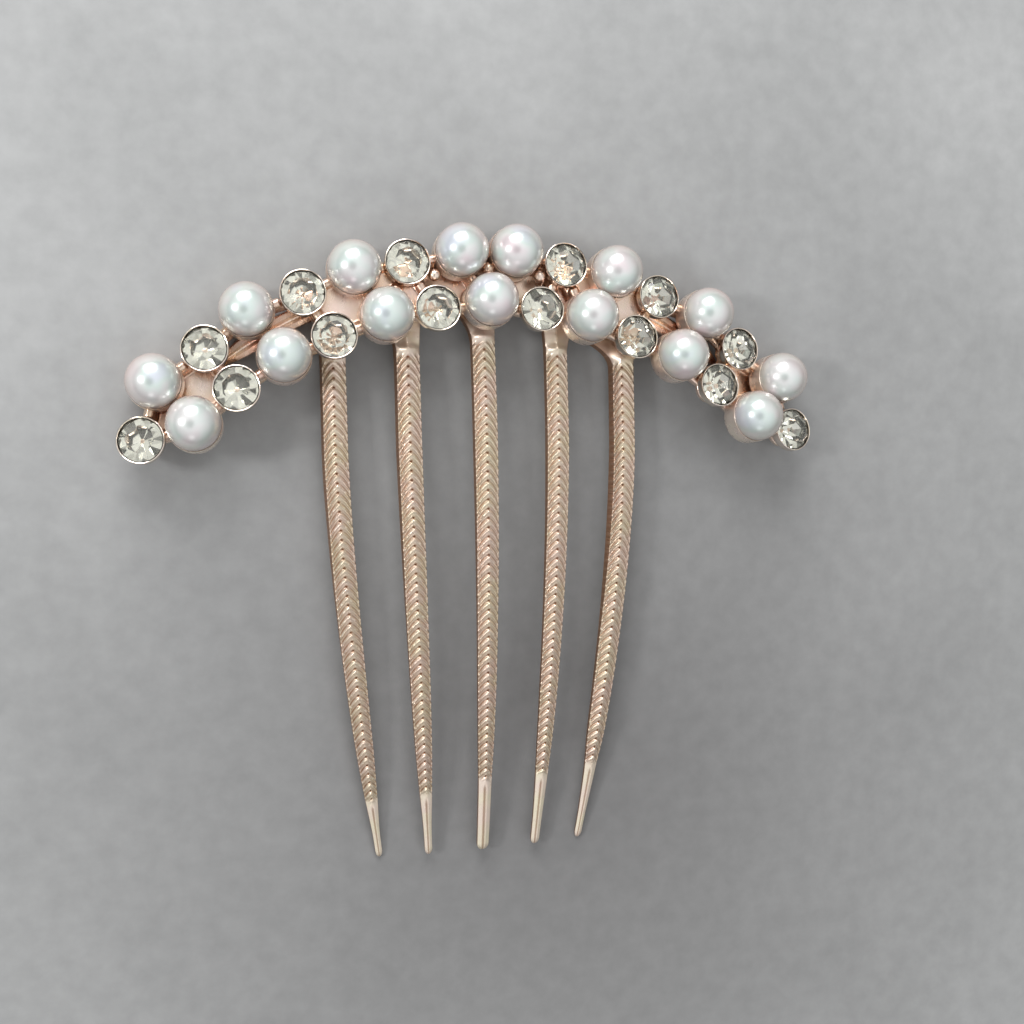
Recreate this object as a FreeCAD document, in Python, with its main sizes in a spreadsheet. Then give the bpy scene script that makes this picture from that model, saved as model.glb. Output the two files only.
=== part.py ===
import FreeCAD, Part
import math
import os
import Sketcher

# Decorative hair comb: five curved tines on an arched rail, a soldered gallery, pearls and crystals.
# The comb lies on its hollow side. +X runs along the arch, +Y from the tips to the head and +Z up, out
# of the pearls. The origin is at the middle of the box round the comb, on the surface it lies on.

Vector = FreeCAD.Vector

# ---------------------------------------------------------------- driving dimensions (mm, degrees)
DIMENSIONS = {
    "OverallLength": 74.1,
    # The head's face: a shallow surface that falls towards +Y and towards both ends.
    "FaceHeight": 5.71,       # height of the crystal rims where the face crosses FaceCentre
    "FaceCentre": 29.65,
    "FaceLean": 0.20,         # fall per mm towards +Y
    "FaceCrown": 0.0028,      # fall per mm squared away from the middle
    "PearlDiameter": 6.0,
    "PearlLift": 0.7,         # pearl centres stand this far above the crystal rims
    "PearlHoleDiameter": 0.9,
    "PearlHoleDepth": 2.5,
    "SeatDiameter": 6.1,
    "SeatHeight": 2.5,
    "SeatFloor": 0.1,
    "PinDiameter": 0.8,
    "PinLength": 2.2,
    "CupDiameter": 5.2,
    "CupBaseDiameter": 3.4,
    "CupHeight": 2.4,
    "CupBandHeight": 1.0,     # height of the straight band at the top of a cup, above its taper
    "CupWall": 0.25,
    "CupFloor": 0.3,
    "CupHoleDiameter": 2.0,
    "CrystalGirdleHeight": 2.05,
    "CrystalGirdleThickness": 0.15,
    "CrystalCrownHeight": 0.75,
    "CrystalTableDiameter": 2.5,
    "CrystalCuletHeight": 0.1,
    "PadDiameter": 3.4,
    "PadThickness": 0.7,
    "LinkDiameter": 1.2,
    "LinkDepth": 0.9,         # from the seats' plane down to the links' axes
    "WebThickness": 0.5,
    "WebDepth": 0.75,         # from the seats' plane down to the webs' middle
    "RailRadius": 49.0,
    "RailSweep": 75.5,
    "RailWidth": 2.2,
    "RailThickness": 1.5,
    "RailTilt": 4.3,
    "RailTop": 31.2,          # y of the rail's middle line at the crown of the arch
    "RailFrontHeight": 2.33,  # height of its front face there
    "RailGrooveWidth": 0.7,
    "RailGrooveDepth": 0.35,
    "TineWidth": 3.0,
    "TineThickness": 1.8,
    "TineStraight": 0.25,     # share of a tine that runs straight before it turns inwards
    "MiddleTineRootX": 0.0,
    "MiddleTineTipX": 0.0,
    "MiddleTineTipHeight": 1.5,
    "MiddleTineBow": 2.8,
    "InnerTineRootX": 8.9,
    "InnerTineTipX": 6.6,
    "InnerTineTipHeight": 1.35,
    "InnerTineBow": 2.3,
    "OuterTineRootX": 17.3,
    "OuterTineTipX": 12.4,
    "OuterTineTipHeight": 0.52,
    "OuterTineBow": 1.9,
}

# Stone centres from the middle outwards: distance from the middle, and drop below the two top pearls.
UPPER_ROW = ((3.2, 0.0), (9.3, 1.4), (15.4, 2.1), (21.0, 4.9), (27.2, 6.8), (31.7, 11.0), (37.2, 14.5))
LOWER_ROW = ((6.1, 6.5), (12.0, 7.2), (17.8, 9.6), (23.4, 11.7), (28.5, 15.3), (33.2, 19.0), (38.7, 20.8))
MIDDLE_DROP = 5.5

# Along a tine: share of its length, then width and thickness as shares of the full ones.
TINE_STATIONS = (
    (0.00, 0.96, 0.75),
    (0.12, 0.99, 0.96),
    (0.24, 1.00, 1.00),
    (0.36, 0.97, 1.00),
    (0.48, 0.93, 0.98),
    (0.60, 0.87, 0.93),
    (0.72, 0.76, 0.84),
    (0.82, 0.58, 0.71),
    (0.91, 0.42, 0.57),
    (1.00, 0.30, 0.42),
)
TINES = (("1", "Outer", -1), ("2", "Inner", -1), ("3", "Middle", 1), ("4", "Inner", 1), ("5", "Outer", 1))
CROWN_FLATS = 8
WEB_REACH = 0.96  # share of the way from a web's middle to the stones at its corners
# Gaps with a web, counted from the middle outwards. The rail shows through the others.
WEBS_UNDER_UPPER_ROW = (0, 1, 2, 5)
WEBS_OVER_LOWER_ROW = (0, 1, 4, 5)

doc = FreeCAD.newDocument("HairComb")
sheet = doc.addObject("Spreadsheet::Sheet", "Sizes")
for row, (alias, value) in enumerate(DIMENSIONS.items(), start=1):
    sheet.set(f"A{row}", alias)
    sheet.set(f"B{row}", str(value))
    sheet.setAlias(f"B{row}", alias)
doc.recompute()


def size(alias):
    """The value in the sheet's cell of that name."""
    return float(sheet.get(alias))


def bind(item, **formulas):
    """Binds properties of an object to formulas in the sheet's cells, each written Sizes.Name."""
    for name, formula in formulas.items():
        item.setExpression(name, formula)


nodes = []


def node(item, label):
    """Marks an object as one sub-part, under the name of its file."""
    item.Label = label
    nodes.append(item)
    return item


# ---------------------------------------------------------------- where the stones stand
class Stone:
    """One place on the head: its kind, its name, its centre and the way it faces."""

    def __init__(self, kind, place, x, drop):
        self.kind = kind
        self.place = place
        y = size("OverallLength") / 2 - size("PearlDiameter") / 2 - drop
        lift = size("PearlLift") if kind == "pearl" else 0
        fall = size("FaceLean") * (y - size("FaceCentre")) + size("FaceCrown") * x * x
        centre = Vector(x, y, size("FaceHeight") - fall + lift)
        self.normal = Vector(2 * size("FaceCrown") * x, size("FaceLean"), 1).normalize()
        stand = size("CupHeight")
        if kind == "pearl":
            stand = size("PearlDiameter") / 2 + size("SeatFloor")
        self.seat = centre - self.normal * stand

    def placement(self, depth=0, turn=0):
        """Its own frame, with z along the normal: the seat's plane, moved down by depth."""
        facing = FreeCAD.Rotation(Vector(0, 0, 1), self.normal)
        spin = FreeCAD.Rotation(Vector(0, 0, 1), turn)
        return FreeCAD.Placement(self.seat - self.normal * depth, facing * spin)


def row_of_stones(row, name, first_kind):
    """Both sides of one row as {side: [stones from the middle out]}, kinds taking turns."""
    kinds = ("pearl", "crystal") if first_kind == "pearl" else ("crystal", "pearl")
    sides = {}
    for side, sign in (("left", -1), ("right", 1)):
        sides[side] = []
        for number, (x, drop) in enumerate(row, start=1):
            kind = kinds[(number - 1) % 2]
            sides[side].append(Stone(kind, f"{name}_{side}_{number}", sign * x, drop))
    return sides


middle = Stone("pearl", "middle", 0, MIDDLE_DROP)
upper = row_of_stones(UPPER_ROW, "upper", "pearl")
lower = row_of_stones(LOWER_ROW, "lower", "crystal")
stones = [middle, *upper["left"], *upper["right"], *lower["left"], *lower["right"]]
pearls = [stone for stone in stones if stone.kind == "pearl"]
crystals = [stone for stone in stones if stone.kind == "crystal"]


# ---------------------------------------------------------------- sketches and primitives
def plane(body, role):
    """One of a body's own origin planes."""
    return next(item for item in body.Origin.OriginFeatures if item.Role == role)


def profile(body, name, corners):
    """A closed outline on the body's XZ plane. corners are (x formula, z formula) in turn."""
    sketch = body.newObject("Sketcher::SketchObject", name)
    sketch.AttachmentSupport = [(plane(body, "XZ_Plane"), "")]
    sketch.MapMode = "FlatFace"
    count = len(corners)
    # The outline starts as an even polygon. Its bound distances move every corner to its place.
    turns = [2 * math.pi * (index + 0.5) / count for index in range(count)]
    spots = [Vector(math.cos(turn), math.sin(turn), 0) for turn in turns]
    for index, spot in enumerate(spots):
        sketch.addGeometry(Part.LineSegment(spot, spots[(index + 1) % count]), False)
    for index in range(count):
        sketch.addConstraint(Sketcher.Constraint("Coincident", index, 2, (index + 1) % count, 1))
    for index, (spot, corner) in enumerate(zip(spots, corners)):
        for kind, start, formula in zip(("DistanceX", "DistanceY"), (spot.x, spot.y), corner):
            number = sketch.addConstraint(Sketcher.Constraint(kind, -1, 1, index, 1, start))
            sketch.setExpression(f"Constraints[{number}]", formula)
    return sketch


def revolved(body, name, sketch, kind="PartDesign::Revolution"):
    """Turns a sketch about its own upright axis, all the way round unless Angle is bound later."""
    feature = body.newObject(kind, name)
    feature.Profile = sketch
    feature.ReferenceAxis = (sketch, ["V_Axis"])
    feature.Midplane = True
    feature.Angle = 360
    return feature


def cylinder(name, radius, height, placement):
    """A Part cylinder with its radius and height bound to formulas."""
    item = doc.addObject("Part::Cylinder", name)
    bind(item, Radius=radius, Height=height)
    item.Placement = placement
    return item


def cut(name, base, tool):
    item = doc.addObject("Part::Cut", name)
    item.Base = base
    item.Tool = tool
    return item


def fuse(name, items):
    item = doc.addObject("Part::MultiFuse", name)
    item.Shapes = items
    return item


# ---------------------------------------------------------------- the rail that carries the tines
def make_rail():
    """A flat bar bent into an arch, with a groove along its front face."""
    rail = doc.addObject("PartDesign::Body", "Rail")
    inner = "Sizes.RailRadius - Sizes.RailWidth / 2"
    outer = "Sizes.RailRadius + Sizes.RailWidth / 2"
    bar = profile(rail, "RailSection", (
        (inner, "0"), (outer, "0"), (outer, "-Sizes.RailThickness"), (inner, "-Sizes.RailThickness"),
    ))
    arch = revolved(rail, "RailArch", bar)
    bind(arch, Angle="Sizes.RailSweep")
    doc.recompute()
    solid_volume = arch.Shape.Volume
    notch = profile(rail, "GrooveSection", (
        ("Sizes.RailRadius - Sizes.RailGrooveWidth / 2", "0"),
        ("Sizes.RailRadius", "-Sizes.RailGrooveDepth"),
        ("Sizes.RailRadius + Sizes.RailGrooveWidth / 2", "0"),
    ))
    groove = revolved(rail, "RailGroove", notch, "PartDesign::Groove")
    doc.recompute()
    assert groove.Shape.Volume < solid_volume, "the rail's groove cuts nothing"
    # The arch turns about an axis behind the tines, with its middle towards +Y.
    tilt = FreeCAD.Rotation(Vector(1, 0, 0), size("RailTilt"))
    crown = Vector(0, size("RailTop"), size("RailFrontHeight"))
    centre = crown - tilt.multVec(Vector(0, size("RailRadius"), 0))
    rail.Placement = FreeCAD.Placement(centre, tilt * FreeCAD.Rotation(Vector(0, 0, 1), 90))
    return node(rail, "back_rail")


def rail_point(x):
    """The middle of the rail's section at a distance x from the crown of the arch."""
    along = math.sqrt(size("RailRadius") ** 2 - x * x) - size("RailRadius")
    tilt = math.radians(size("RailTilt"))
    y = size("RailTop") + along * math.cos(tilt)
    z = size("RailFrontHeight") + along * math.sin(tilt) - size("RailThickness") / 2
    return Vector(x, y, z)


# ---------------------------------------------------------------- the tines
def make_tine(number, pair, side, rail):
    """A tapering tine, bowed upwards, from inside the rail to its tip. The rail is cut out of it."""
    root = rail_point(size(f"{pair}TineRootX"))
    sections = []
    for station, (share, width, thickness) in enumerate(TINE_STATIONS, start=1):
        section = doc.addObject("Part::Ellipse", f"Tine{number}Section{station}")
        turn_in = max(0, share - size("TineStraight")) / (1 - size("TineStraight"))
        tip_x = f"Sizes.{pair}TineTipX"
        root_x = f"Sizes.{pair}TineRootX"
        rise = 4 * share * (1 - share)
        section.Placement = FreeCAD.Placement(Vector(), FreeCAD.Rotation(Vector(1, 0, 0), 90))
        bind(section, **{
            "MajorRadius": f"Sizes.TineWidth / 2 * {width}",
            "MinorRadius": f"Sizes.TineThickness / 2 * {thickness}",
            "Placement.Base.x": f"{side} * ({root_x} - ({root_x} - {tip_x}) * {turn_in ** 2})",
            "Placement.Base.y": f"{root.y * (1 - share)} - Sizes.OverallLength / 2 * {share}",
            "Placement.Base.z": f"{root.z * (1 - share)} + Sizes.{pair}TineTipHeight * {share}"
                                f" + Sizes.{pair}TineBow * {rise}",
        })
        sections.append(section)
    loft = doc.addObject("Part::Loft", f"Tine{number}Blank")
    loft.Sections = sections
    loft.Solid = True
    loft.Ruled = False
    return loft, node(cut(f"Tine{number}", loft, rail), f"tine_{number}")


# ---------------------------------------------------------------- the gallery behind the stones
def neighbours():
    """The pairs of stones that a gallery link joins."""
    pairs = [(upper["left"][0], upper["right"][0])]
    for side in ("left", "right"):
        top = upper[side]
        bottom = lower[side]
        pairs.append((middle, top[0]))
        pairs.append((middle, bottom[0]))
        pairs.append((bottom[1], top[1]))
        pairs.append((bottom[6], top[6]))
        for index in range(6):
            pairs.append((top[index], top[index + 1]))
            pairs.append((bottom[index], bottom[index + 1]))
            pairs.append((bottom[index], top[index + 1]))
    return pairs


def corners_of_webs():
    """The threes of stones with a web of metal behind the gap between them."""
    trios = [(upper["left"][0], upper["right"][0], middle)]
    for side in ("left", "right"):
        top = upper[side]
        bottom = lower[side]
        trios.append((middle, top[0], bottom[0]))
        for index in WEBS_UNDER_UPPER_ROW:
            trios.append((top[index], top[index + 1], bottom[index]))
        for index in WEBS_OVER_LOWER_ROW:
            trios.append((bottom[index], top[index + 1], bottom[index + 1]))
    return trios


def make_web(number, trio):
    """A thin three-cornered plate whose corners lie under the pads and whose edges lie in the links."""
    spots = [stone.placement(depth=size("WebDepth")).Base for stone in trio]
    centre = (spots[0] + spots[1] + spots[2]) / 3
    corners = [centre + (spot - centre) * WEB_REACH for spot in spots]
    normal = (corners[1] - corners[0]).cross(corners[2] - corners[0]).normalize()
    outline = doc.addObject("Part::Polygon", f"WebOutline_{number}")
    outline.Nodes = corners
    outline.Close = True
    web = doc.addObject("Part::Extrusion", f"Web_{number}")
    web.Base = outline
    web.DirMode = "Custom"
    web.Dir = normal
    web.Solid = True
    bind(web, LengthFwd="Sizes.WebThickness / 2", LengthRev="Sizes.WebThickness / 2")
    return web


def make_gallery(rail, tine_blanks):
    """A pad under every stone, with bars and webs between. It meets the rail and tines face to face."""
    pieces = []
    for stone in stones:
        pad = cylinder(f"Pad_{stone.place}", "Sizes.PadDiameter / 2", "Sizes.PadThickness",
                       stone.placement(depth=size("PadThickness")))
        pieces.append(pad)
    for number, (one, other) in enumerate(neighbours(), start=1):
        start = one.placement(depth=size("LinkDepth")).Base
        run = other.placement(depth=size("LinkDepth")).Base - start
        along = FreeCAD.Rotation(Vector(0, 0, 1), run)
        pieces.append(cylinder(f"Link_{number}", "Sizes.LinkDiameter / 2", f"{run.Length}",
                               FreeCAD.Placement(start, along)))
    for number, trio in enumerate(corners_of_webs(), start=1):
        pieces.append(make_web(number, trio))
    lattice = fuse("Lattice", pieces)
    behind = fuse("CombBlank", [rail, *tine_blanks])
    return node(cut("Gallery", lattice, behind), "gallery")


# ---------------------------------------------------------------- crystals and their cups
def make_cup(stone):
    """A stamped setting: a floor with a hole, a tapered wall, a ledge for the crystal and a rim."""
    body = doc.addObject("PartDesign::Body", f"Cup_{stone.place}")
    outside = "Sizes.CupDiameter / 2"
    bore = "Sizes.CupDiameter / 2 - Sizes.CupWall"
    ledge = "Sizes.CupDiameter / 2 - Sizes.CupWall * 1.7"
    hole = "Sizes.CupHoleDiameter / 2"
    outline = profile(body, f"CupSection_{stone.place}", (
        (hole, "0"), ("Sizes.CupBaseDiameter / 2", "0"),
        (outside, "Sizes.CupHeight - Sizes.CupBandHeight"), (outside, "Sizes.CupHeight"),
        (bore, "Sizes.CupHeight"), (bore, "Sizes.CrystalGirdleHeight"),
        (ledge, "Sizes.CrystalGirdleHeight - Sizes.CupWall * 0.6"),
        ("Sizes.CupBaseDiameter / 2 - Sizes.CupWall", "Sizes.CupFloor"), (hole, "Sizes.CupFloor"),
    ))
    revolved(body, f"CupTurned_{stone.place}", outline)
    body.Placement = stone.placement()
    return node(body, f"crystal_cup_{stone.place}")


def make_crystal(stone, turn):
    """A round crystal: pointed below, a girdle that fills the cup, and flats round a small table."""
    body = doc.addObject("PartDesign::Body", f"Crystal_{stone.place}")
    girdle = "Sizes.CupDiameter / 2 - Sizes.CupWall"
    girdle_top = "Sizes.CrystalGirdleHeight + Sizes.CrystalGirdleThickness"
    table_height = f"{girdle_top} + Sizes.CrystalCrownHeight"
    table = "Sizes.CrystalTableDiameter / 2"
    outline = profile(body, f"CrystalSection_{stone.place}", (
        ("0", "Sizes.CrystalCuletHeight"), (girdle, "Sizes.CrystalGirdleHeight"), (girdle, girdle_top),
        (table, table_height), ("0", table_height),
    ))
    turned = revolved(body, f"CrystalTurned_{stone.place}", outline)
    doc.recompute()
    round_volume = turned.Shape.Volume
    beyond = "Sizes.CupDiameter"
    shave = profile(body, f"FlatSection_{stone.place}", (
        (girdle, girdle_top), (f"({table}) * 0.9", table_height),
        (beyond, table_height), (beyond, girdle_top),
    ))
    flat = body.newObject("PartDesign::Pocket", f"Flat_{stone.place}")
    flat.Profile = shave
    flat.Type = "ThroughAll"
    flat.Midplane = True
    flats = body.newObject("PartDesign::PolarPattern", f"Flats_{stone.place}")
    flats.Originals = [flat]
    flats.Axis = (shave, ["V_Axis"])
    flats.Angle = 360
    flats.Occurrences = CROWN_FLATS
    body.Tip = flats
    doc.recompute()
    assert flats.Shape.Volume < round_volume, f"the flats of {stone.place} cut nothing"
    body.Placement = stone.placement(turn=turn)
    return node(body, f"crystal_{stone.place}")


# ---------------------------------------------------------------- pearls, their seats and pins
def pearl_sphere(name):
    """The ball that a pearl is made from, standing on the seat's floor."""
    ball = doc.addObject("Part::Sphere", name)
    bind(ball, **{
        "Radius": "Sizes.PearlDiameter / 2",
        "Placement.Base.z": "Sizes.PearlDiameter / 2 + Sizes.SeatFloor",
    })
    return ball


def make_pearl(stone):
    """A half-drilled ball."""
    ball = pearl_sphere(f"Ball_{stone.place}")
    drill = cylinder(f"Drill_{stone.place}", "Sizes.PearlHoleDiameter / 2", "Sizes.PearlHoleDepth",
                     FreeCAD.Placement())
    pearl = cut(f"Pearl_{stone.place}", ball, drill)
    pearl.Placement = stone.placement()
    return node(pearl, f"pearl_{stone.place}")


def make_seat(stone):
    """A shallow dish that holds a pearl, with a hole for the pin."""
    blank = cylinder(f"SeatBlank_{stone.place}", "Sizes.SeatDiameter / 2", "Sizes.SeatHeight",
                     FreeCAD.Placement())
    drill = cylinder(f"SeatDrill_{stone.place}", "Sizes.PinDiameter / 2", "Sizes.SeatHeight",
                     FreeCAD.Placement())
    seat = cut(f"Seat_{stone.place}", blank, fuse(f"Dish_{stone.place}", [
        pearl_sphere(f"SeatBall_{stone.place}"), drill,
    ]))
    seat.Placement = stone.placement()
    return seat


def make_pin(stone):
    """The pin that stands on the gallery's pad and reaches into the pearl."""
    return cylinder(f"Pin_{stone.place}", "Sizes.PinDiameter / 2", "Sizes.PinLength", stone.placement())


def group(label, items):
    """Separate solids of one kind, kept in one sub-part."""
    compound = doc.addObject("Part::Compound", label)
    compound.Links = items
    return node(compound, label)


# ---------------------------------------------------------------- the whole comb
rail = make_rail()
blanks = []
for number, pair, side in TINES:
    blank, tine = make_tine(number, pair, side, rail)
    blanks.append(blank)
make_gallery(rail, blanks)
for index, stone in enumerate(crystals):
    make_cup(stone)
    make_crystal(stone, turn=index * 17)
for stone in pearls:
    make_pearl(stone)
group("pearl_seats", [make_seat(stone) for stone in pearls])
group("pearl_pins", [make_pin(stone) for stone in pearls])
doc.recompute()

# ---------------------------------------------------------------- checks and files
for item in doc.Objects:
    failed = {"Invalid", "Error"} & set(item.State)
    assert not failed, f"{item.Label} is {failed}"
box = FreeCAD.BoundBox()
for item in nodes:
    assert not item.Shape.isNull() and item.Shape.isValid(), f"{item.Label} has no valid shape"
    box.add(item.Shape.BoundBox)
print(f"box {box.XLength:.2f} x {box.YLength:.2f} x {box.ZLength:.2f} mm")
print(f"middle {box.Center.x:.3f}, {box.Center.y:.3f}, foot {box.ZMin:.3f}, {len(nodes)} sub-parts")

os.makedirs("parts", exist_ok=True)
for item in nodes:
    item.Shape.exportStep(f"parts/{item.Label}.step")
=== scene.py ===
import math
import random

import bmesh
import bpy
import numpy as np
from mathutils import Matrix, Vector, noise


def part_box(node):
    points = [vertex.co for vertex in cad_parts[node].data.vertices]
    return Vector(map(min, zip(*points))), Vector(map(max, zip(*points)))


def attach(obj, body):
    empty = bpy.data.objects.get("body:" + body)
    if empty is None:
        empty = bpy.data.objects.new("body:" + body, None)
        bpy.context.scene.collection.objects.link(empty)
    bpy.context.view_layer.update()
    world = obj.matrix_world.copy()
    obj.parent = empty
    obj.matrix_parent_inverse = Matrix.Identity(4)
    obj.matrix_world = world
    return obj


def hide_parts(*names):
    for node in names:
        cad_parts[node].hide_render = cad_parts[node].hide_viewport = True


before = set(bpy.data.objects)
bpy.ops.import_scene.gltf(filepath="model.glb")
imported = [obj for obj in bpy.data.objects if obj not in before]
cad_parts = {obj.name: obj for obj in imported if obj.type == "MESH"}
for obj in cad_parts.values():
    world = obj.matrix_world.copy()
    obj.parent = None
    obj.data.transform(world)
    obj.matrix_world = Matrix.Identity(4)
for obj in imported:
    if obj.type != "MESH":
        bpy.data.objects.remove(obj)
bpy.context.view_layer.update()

MM = 0.001
rng = random.Random(7)

# ---------------------------------------------------------------- design sizes (mm), as in the CAD model
FACE_LEAN = 0.20            # fall of the head's face per mm towards +Y
FACE_CROWN = 0.0028         # fall per mm squared away from the middle
CUP_HEIGHT = 2.4
CUP_BAND = 1.0              # height of the straight band at the top of a cup
CUP_BASE_RADIUS = 1.7
STONE_RADIUS = 2.35
GIRDLE_LOW = 2.05
GIRDLE_HIGH = 2.2
TABLE_HEIGHT = 2.95
TABLE_RADIUS = 1.45         # a little wider than the CAD model's
CULET_HEIGHT = 0.1
CRYSTAL_MAINS = 8           # main facets round the crown, and as many round the point below
PEARL_LIFT = 3.1            # pearl's centre above the plane its seat stands on
RAIL_RADIUS = 49.0
RAIL_WIDTH = 2.2
RAIL_THICKNESS = 1.5
RAIL_TILT = math.radians(4.3)
RAIL_HALF_SWEEP = math.radians(37.75)
TINE_WIDTH = 3.0
TINE_STRAIGHT = 0.25        # share of a tine that runs straight before it turns inwards
# Gaps with a web, counted from the middle outwards. The rail shows through the others.
WEBS_UNDER_UPPER_ROW = (0, 1, 2, 5)
WEBS_OVER_LOWER_ROW = (0, 1, 4, 5)

# Tines from left to right. Bows and tip heights are the CAD model's; the rest differs a little from one
# tine to the next: full width, width of the tip, where the braid starts and ends (shares of the length),
# how far the neck spreads under the stones to the left and to the right, height of the lug at its foot,
# how far (degrees) the head end is twisted, and how far its left wall leans in.
TINES = {
    "tine_1": dict(width=3.0, bow=1.9, tip=0.52, tip_width=0.80, braid=(0.100, 0.890),
                   left=0.3, right=0.5, lug=0.1, twist=3, slant=0.25),
    "tine_2": dict(width=2.95, bow=2.3, tip=1.35, tip_width=0.90, braid=(0.118, 0.885),
                   left=0.6, right=0.2, lug=0.3, twist=0, slant=0.2),
    "tine_3": dict(width=2.85, bow=2.8, tip=1.50, tip_width=1.40, braid=(0.108, 0.867),
                   left=1.3, right=0.2, lug=0.3, twist=0, slant=0.1),
    "tine_4": dict(width=2.75, bow=2.3, tip=1.35, tip_width=1.05, braid=(0.118, 0.866),
                   left=0.2, right=0.8, lug=0.3, twist=0, slant=0.1),
    "tine_5": dict(width=3.05, bow=1.9, tip=0.52, tip_width=0.85, braid=(0.104, 0.853),
                   left=3.3, right=0.4, lug=0.1, twist=12, slant=0.5),
}


# ---------------------------------------------------------------- camera
CAMERA_DISTANCE = 160.0
CAMERA_YAW = math.radians(16.32)
CAMERA_PITCH = math.radians(6.5)
CAMERA_ROLL = math.radians(1.886)
CAMERA_ASIDE = -1.66
CAMERA_LENS = 49.8
AIM = Vector((0, 4.65, 8.33))


def make_camera():
    """Looks down on the comb from a little to the left of its middle."""
    tilt = Matrix.Rotation(-CAMERA_PITCH, 3, "X")
    ahead = tilt @ Vector((math.sin(CAMERA_YAW), 0, -math.cos(CAMERA_YAW)))
    level = tilt @ Vector((math.cos(CAMERA_YAW), 0, math.sin(CAMERA_YAW)))
    rise = tilt @ Vector((0, 1, 0))
    right = level * math.cos(CAMERA_ROLL) - rise * math.sin(CAMERA_ROLL)
    up = level * math.sin(CAMERA_ROLL) + rise * math.cos(CAMERA_ROLL)
    place = AIM - ahead * CAMERA_DISTANCE - right * CAMERA_ASIDE
    camera = bpy.data.objects.new("camera", bpy.data.cameras.new("camera"))
    bpy.context.scene.collection.objects.link(camera)
    turn = Matrix((right, up, -ahead)).transposed()
    camera.matrix_world = Matrix.Translation(place * MM) @ turn.to_4x4()
    camera.data.lens = CAMERA_LENS
    camera.data.clip_start = 0.005
    bpy.context.scene.camera = camera
    return (place * MM).normalized()


# ---------------------------------------------------------------- node helpers
def new_material(name):
    material = bpy.data.materials.new(name)
    material.use_nodes = True
    return material, material.node_tree, material.node_tree.nodes["Principled BSDF"]


def add(tree, kind, **inputs):
    """A node with some of its inputs set. Names stand for sockets, with _ for a space."""
    node = tree.nodes.new(kind)
    for name, value in inputs.items():
        node.inputs[name.replace("_", " ")].default_value = value
    return node


def object_noise(tree, scale, detail=3.0, stretch=(1, 1, 1)):
    """Noise in the object's own coordinates, one lump per 1 / scale metres."""
    coordinates = tree.nodes.new("ShaderNodeTexCoord")
    mapping = add(tree, "ShaderNodeMapping", Scale=stretch)
    texture = add(tree, "ShaderNodeTexNoise", Scale=scale, Detail=detail, Roughness=0.55)
    tree.links.new(coordinates.outputs["Object"], mapping.inputs["Vector"])
    tree.links.new(mapping.outputs["Vector"], texture.inputs["Vector"])
    return texture.outputs["Fac"]


def ramp(tree, value, stops):
    """A colour ramp driven by value. stops are (position, colour)."""
    node = tree.nodes.new("ShaderNodeValToRGB")
    elements = node.color_ramp.elements
    while len(elements) < len(stops):
        elements.new(0.5)
    for element, (position, colour) in zip(elements, stops):
        element.position = position
        element.color = (*colour, 1.0)
    tree.links.new(value, node.inputs["Fac"])
    return node.outputs["Color"]


def blended(tree, factor, first, second, mode="MIX"):
    """Colour first going to second with factor. Each may be a socket or a colour."""
    node = tree.nodes.new("ShaderNodeMix")
    node.data_type = "RGBA"
    node.blend_type = mode
    for socket, value in ((node.inputs[0], factor), (node.inputs[6], first), (node.inputs[7], second)):
        if isinstance(value, bpy.types.NodeSocket):
            tree.links.new(value, socket)
        elif isinstance(value, tuple):
            socket.default_value = (*value, 1.0)
        else:
            socket.default_value = value
    return node.outputs[2]


def remapped(tree, value, low, high, to_low, to_high):
    node = add(tree, "ShaderNodeMapRange")
    tree.links.new(value, node.inputs["Value"])
    for name, number in (("From Min", low), ("From Max", high), ("To Min", to_low), ("To Max", to_high)):
        node.inputs[name].default_value = number
    return node.outputs["Result"]


def bump(tree, shader, height, strength, distance):
    node = add(tree, "ShaderNodeBump", Strength=strength, Distance=distance)
    tree.links.new(height, node.inputs["Height"])
    tree.links.new(node.outputs["Normal"], shader.inputs["Normal"])


# ---------------------------------------------------------------- materials
def plated_metal(name, pink, gold, painted_shade, roughness, metallic=1.0, contact_shade=0.8):
    """Plated metal: clouds of pinker and yellower plate, painted shade of dull brown in its hollows, fine
    handling marks.

    A mesh attribute gives painted shade, deepest in grooves, where the plate takes the dull brown. The last
    argument is how strongly painted shade darkens the plate where other pieces stand close to it.
    """
    material, tree, shader = new_material(name)
    clouds = object_noise(tree, 300.0)
    colour = blended(tree, remapped(tree, clouds, 0.38, 0.62, 0.0, 1.0), pink, gold)
    geometry = tree.nodes.new("ShaderNodeNewGeometry")
    # Painted shade: crevices found by pointiness take the dull brown.
    cavity = remapped(tree, geometry.outputs["Pointiness"], 0.42, 0.50, 0.7, 0.0)
    colour = blended(tree, cavity, colour, painted_shade)
    # Painted shade from the mesh attribute, for the tines' grooves, pits, walls and backs.
    groove = tree.nodes.new("ShaderNodeAttribute")
    groove.attribute_name = "painted_shade"
    colour = blended(tree, groove.outputs["Fac"], colour, painted_shade)
    # Painted shade where other pieces close in, found by ambient occlusion.
    if contact_shade:
        recess = tree.nodes.new("ShaderNodeAmbientOcclusion")
        recess.samples = 6
        recess.inputs["Distance"].default_value = 0.0022
        close_by = remapped(tree, recess.outputs["AO"], 0.25, 0.75, contact_shade, 0.0)
        shade = tuple((light + dark) / 2 for light, dark in zip(pink, painted_shade))
        colour = blended(tree, close_by, colour, shade, "MULTIPLY")
    tree.links.new(colour, shader.inputs["Base Color"])
    marks = object_noise(tree, 1800.0, detail=2.0, stretch=(1, 0.35, 1))
    rough = remapped(tree, marks, 0.3, 0.7, roughness - 0.06, roughness + 0.08)
    tree.links.new(rough, shader.inputs["Roughness"])
    shader.inputs["Metallic"].default_value = metallic
    bump(tree, shader, marks, 0.05, 0.00002)
    return material


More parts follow.
